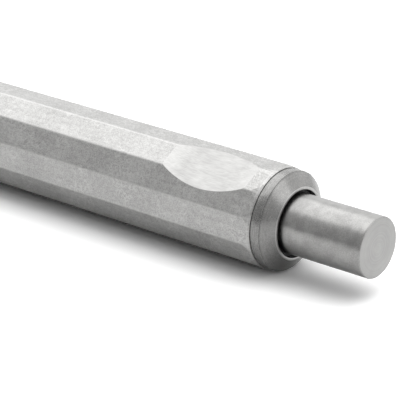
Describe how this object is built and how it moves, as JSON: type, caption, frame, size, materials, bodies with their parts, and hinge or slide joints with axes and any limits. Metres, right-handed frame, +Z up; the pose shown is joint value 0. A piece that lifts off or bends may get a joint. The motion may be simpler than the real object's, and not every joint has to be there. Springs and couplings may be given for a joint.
{
  "type": "pushbutton ballpoint pen",
  "caption": "Slim click pen with a faceted metal barrel, a shallow thumb scoop, a bevelled end cap and a plain round pushbutton that drives a refill through a saw-tooth cam.",
  "frame": {"origin": "under the middle of the pen's length, on the surface that its lowest flat lies on", "axes": "+X along the pen towards the button, +Z up, +Y across; the scoop's flat faces up and towards -Y"},
  "size_m": [0.14, 0.011, 0.011],
  "materials": {
    "tumbled_metal": "raw steel, tumbled with stones to a fine grey mottle, edges softly broken",
    "turned_metal": "turned steel with fine rings, then tumbled",
    "button_metal": "turned steel with fine rings, satin",
    "brass": "drawn brass, plain",
    "white_plastic": "moulded acetal, natural white",
    "grey_plastic": "moulded plastic, grey",
    "rubber": "black nitrile rubber",
    "bright_steel": "bright drawn steel"
  },
  "bodies": {
    "casing": {"barrel": "tumbled_metal", "nose_cone": "tumbled_metal", "nose_seal_ring": "rubber", "collar_ring": "turned_metal", "end_seal_ring": "rubber", "end_cap": "turned_metal", "button_bush": "grey_plastic", "mechanism_housing": "brass", "cam_guide": "white_plastic", "keeper_ring": "bright_steel", "return_spring": "bright_steel"},
    "button": {"button": "button_metal", "plunger": "grey_plastic"},
    "rotor": {"rotor": "white_plastic"},
    "refill": {"refill_point": "brass", "refill_neck": "brass", "refill_tube": "bright_steel", "ink_float": "grey_plastic", "refill_plug": "grey_plastic"},
    "ball": {"writing_ball": "bright_steel"}
  },
  "joints": [
    {"name": "button_press", "type": "slide", "parent": "casing", "child": "button", "axis": [-1, 0, 0], "range_m": [0, 0.0064], "stiffness_N_per_m": 200, "springref_m": -0.008},
    {"name": "rotor_slide", "type": "slide", "parent": "casing", "child": "rotor", "axis": [-1, 0, 0], "range_m": [0, 0.0064]},
    {"name": "refill_slide", "type": "slide", "parent": "casing", "child": "refill", "axis": [-1, 0, 0], "range_m": [0, 0.0064], "deforming": ["return_spring"]},
    {"name": "ball_roll", "type": "hinge", "parent": "refill", "child": "ball", "pos_m": [-0.06792, 0, 0.0055], "axis": [0, 1, 0], "continuous": true}
  ],
  "couplings": [
    {"joint": "rotor_slide", "follows": "button_press", "ratio": 1},
    {"joint": "refill_slide", "follows": "button_press", "ratio": 1}
  ]
}
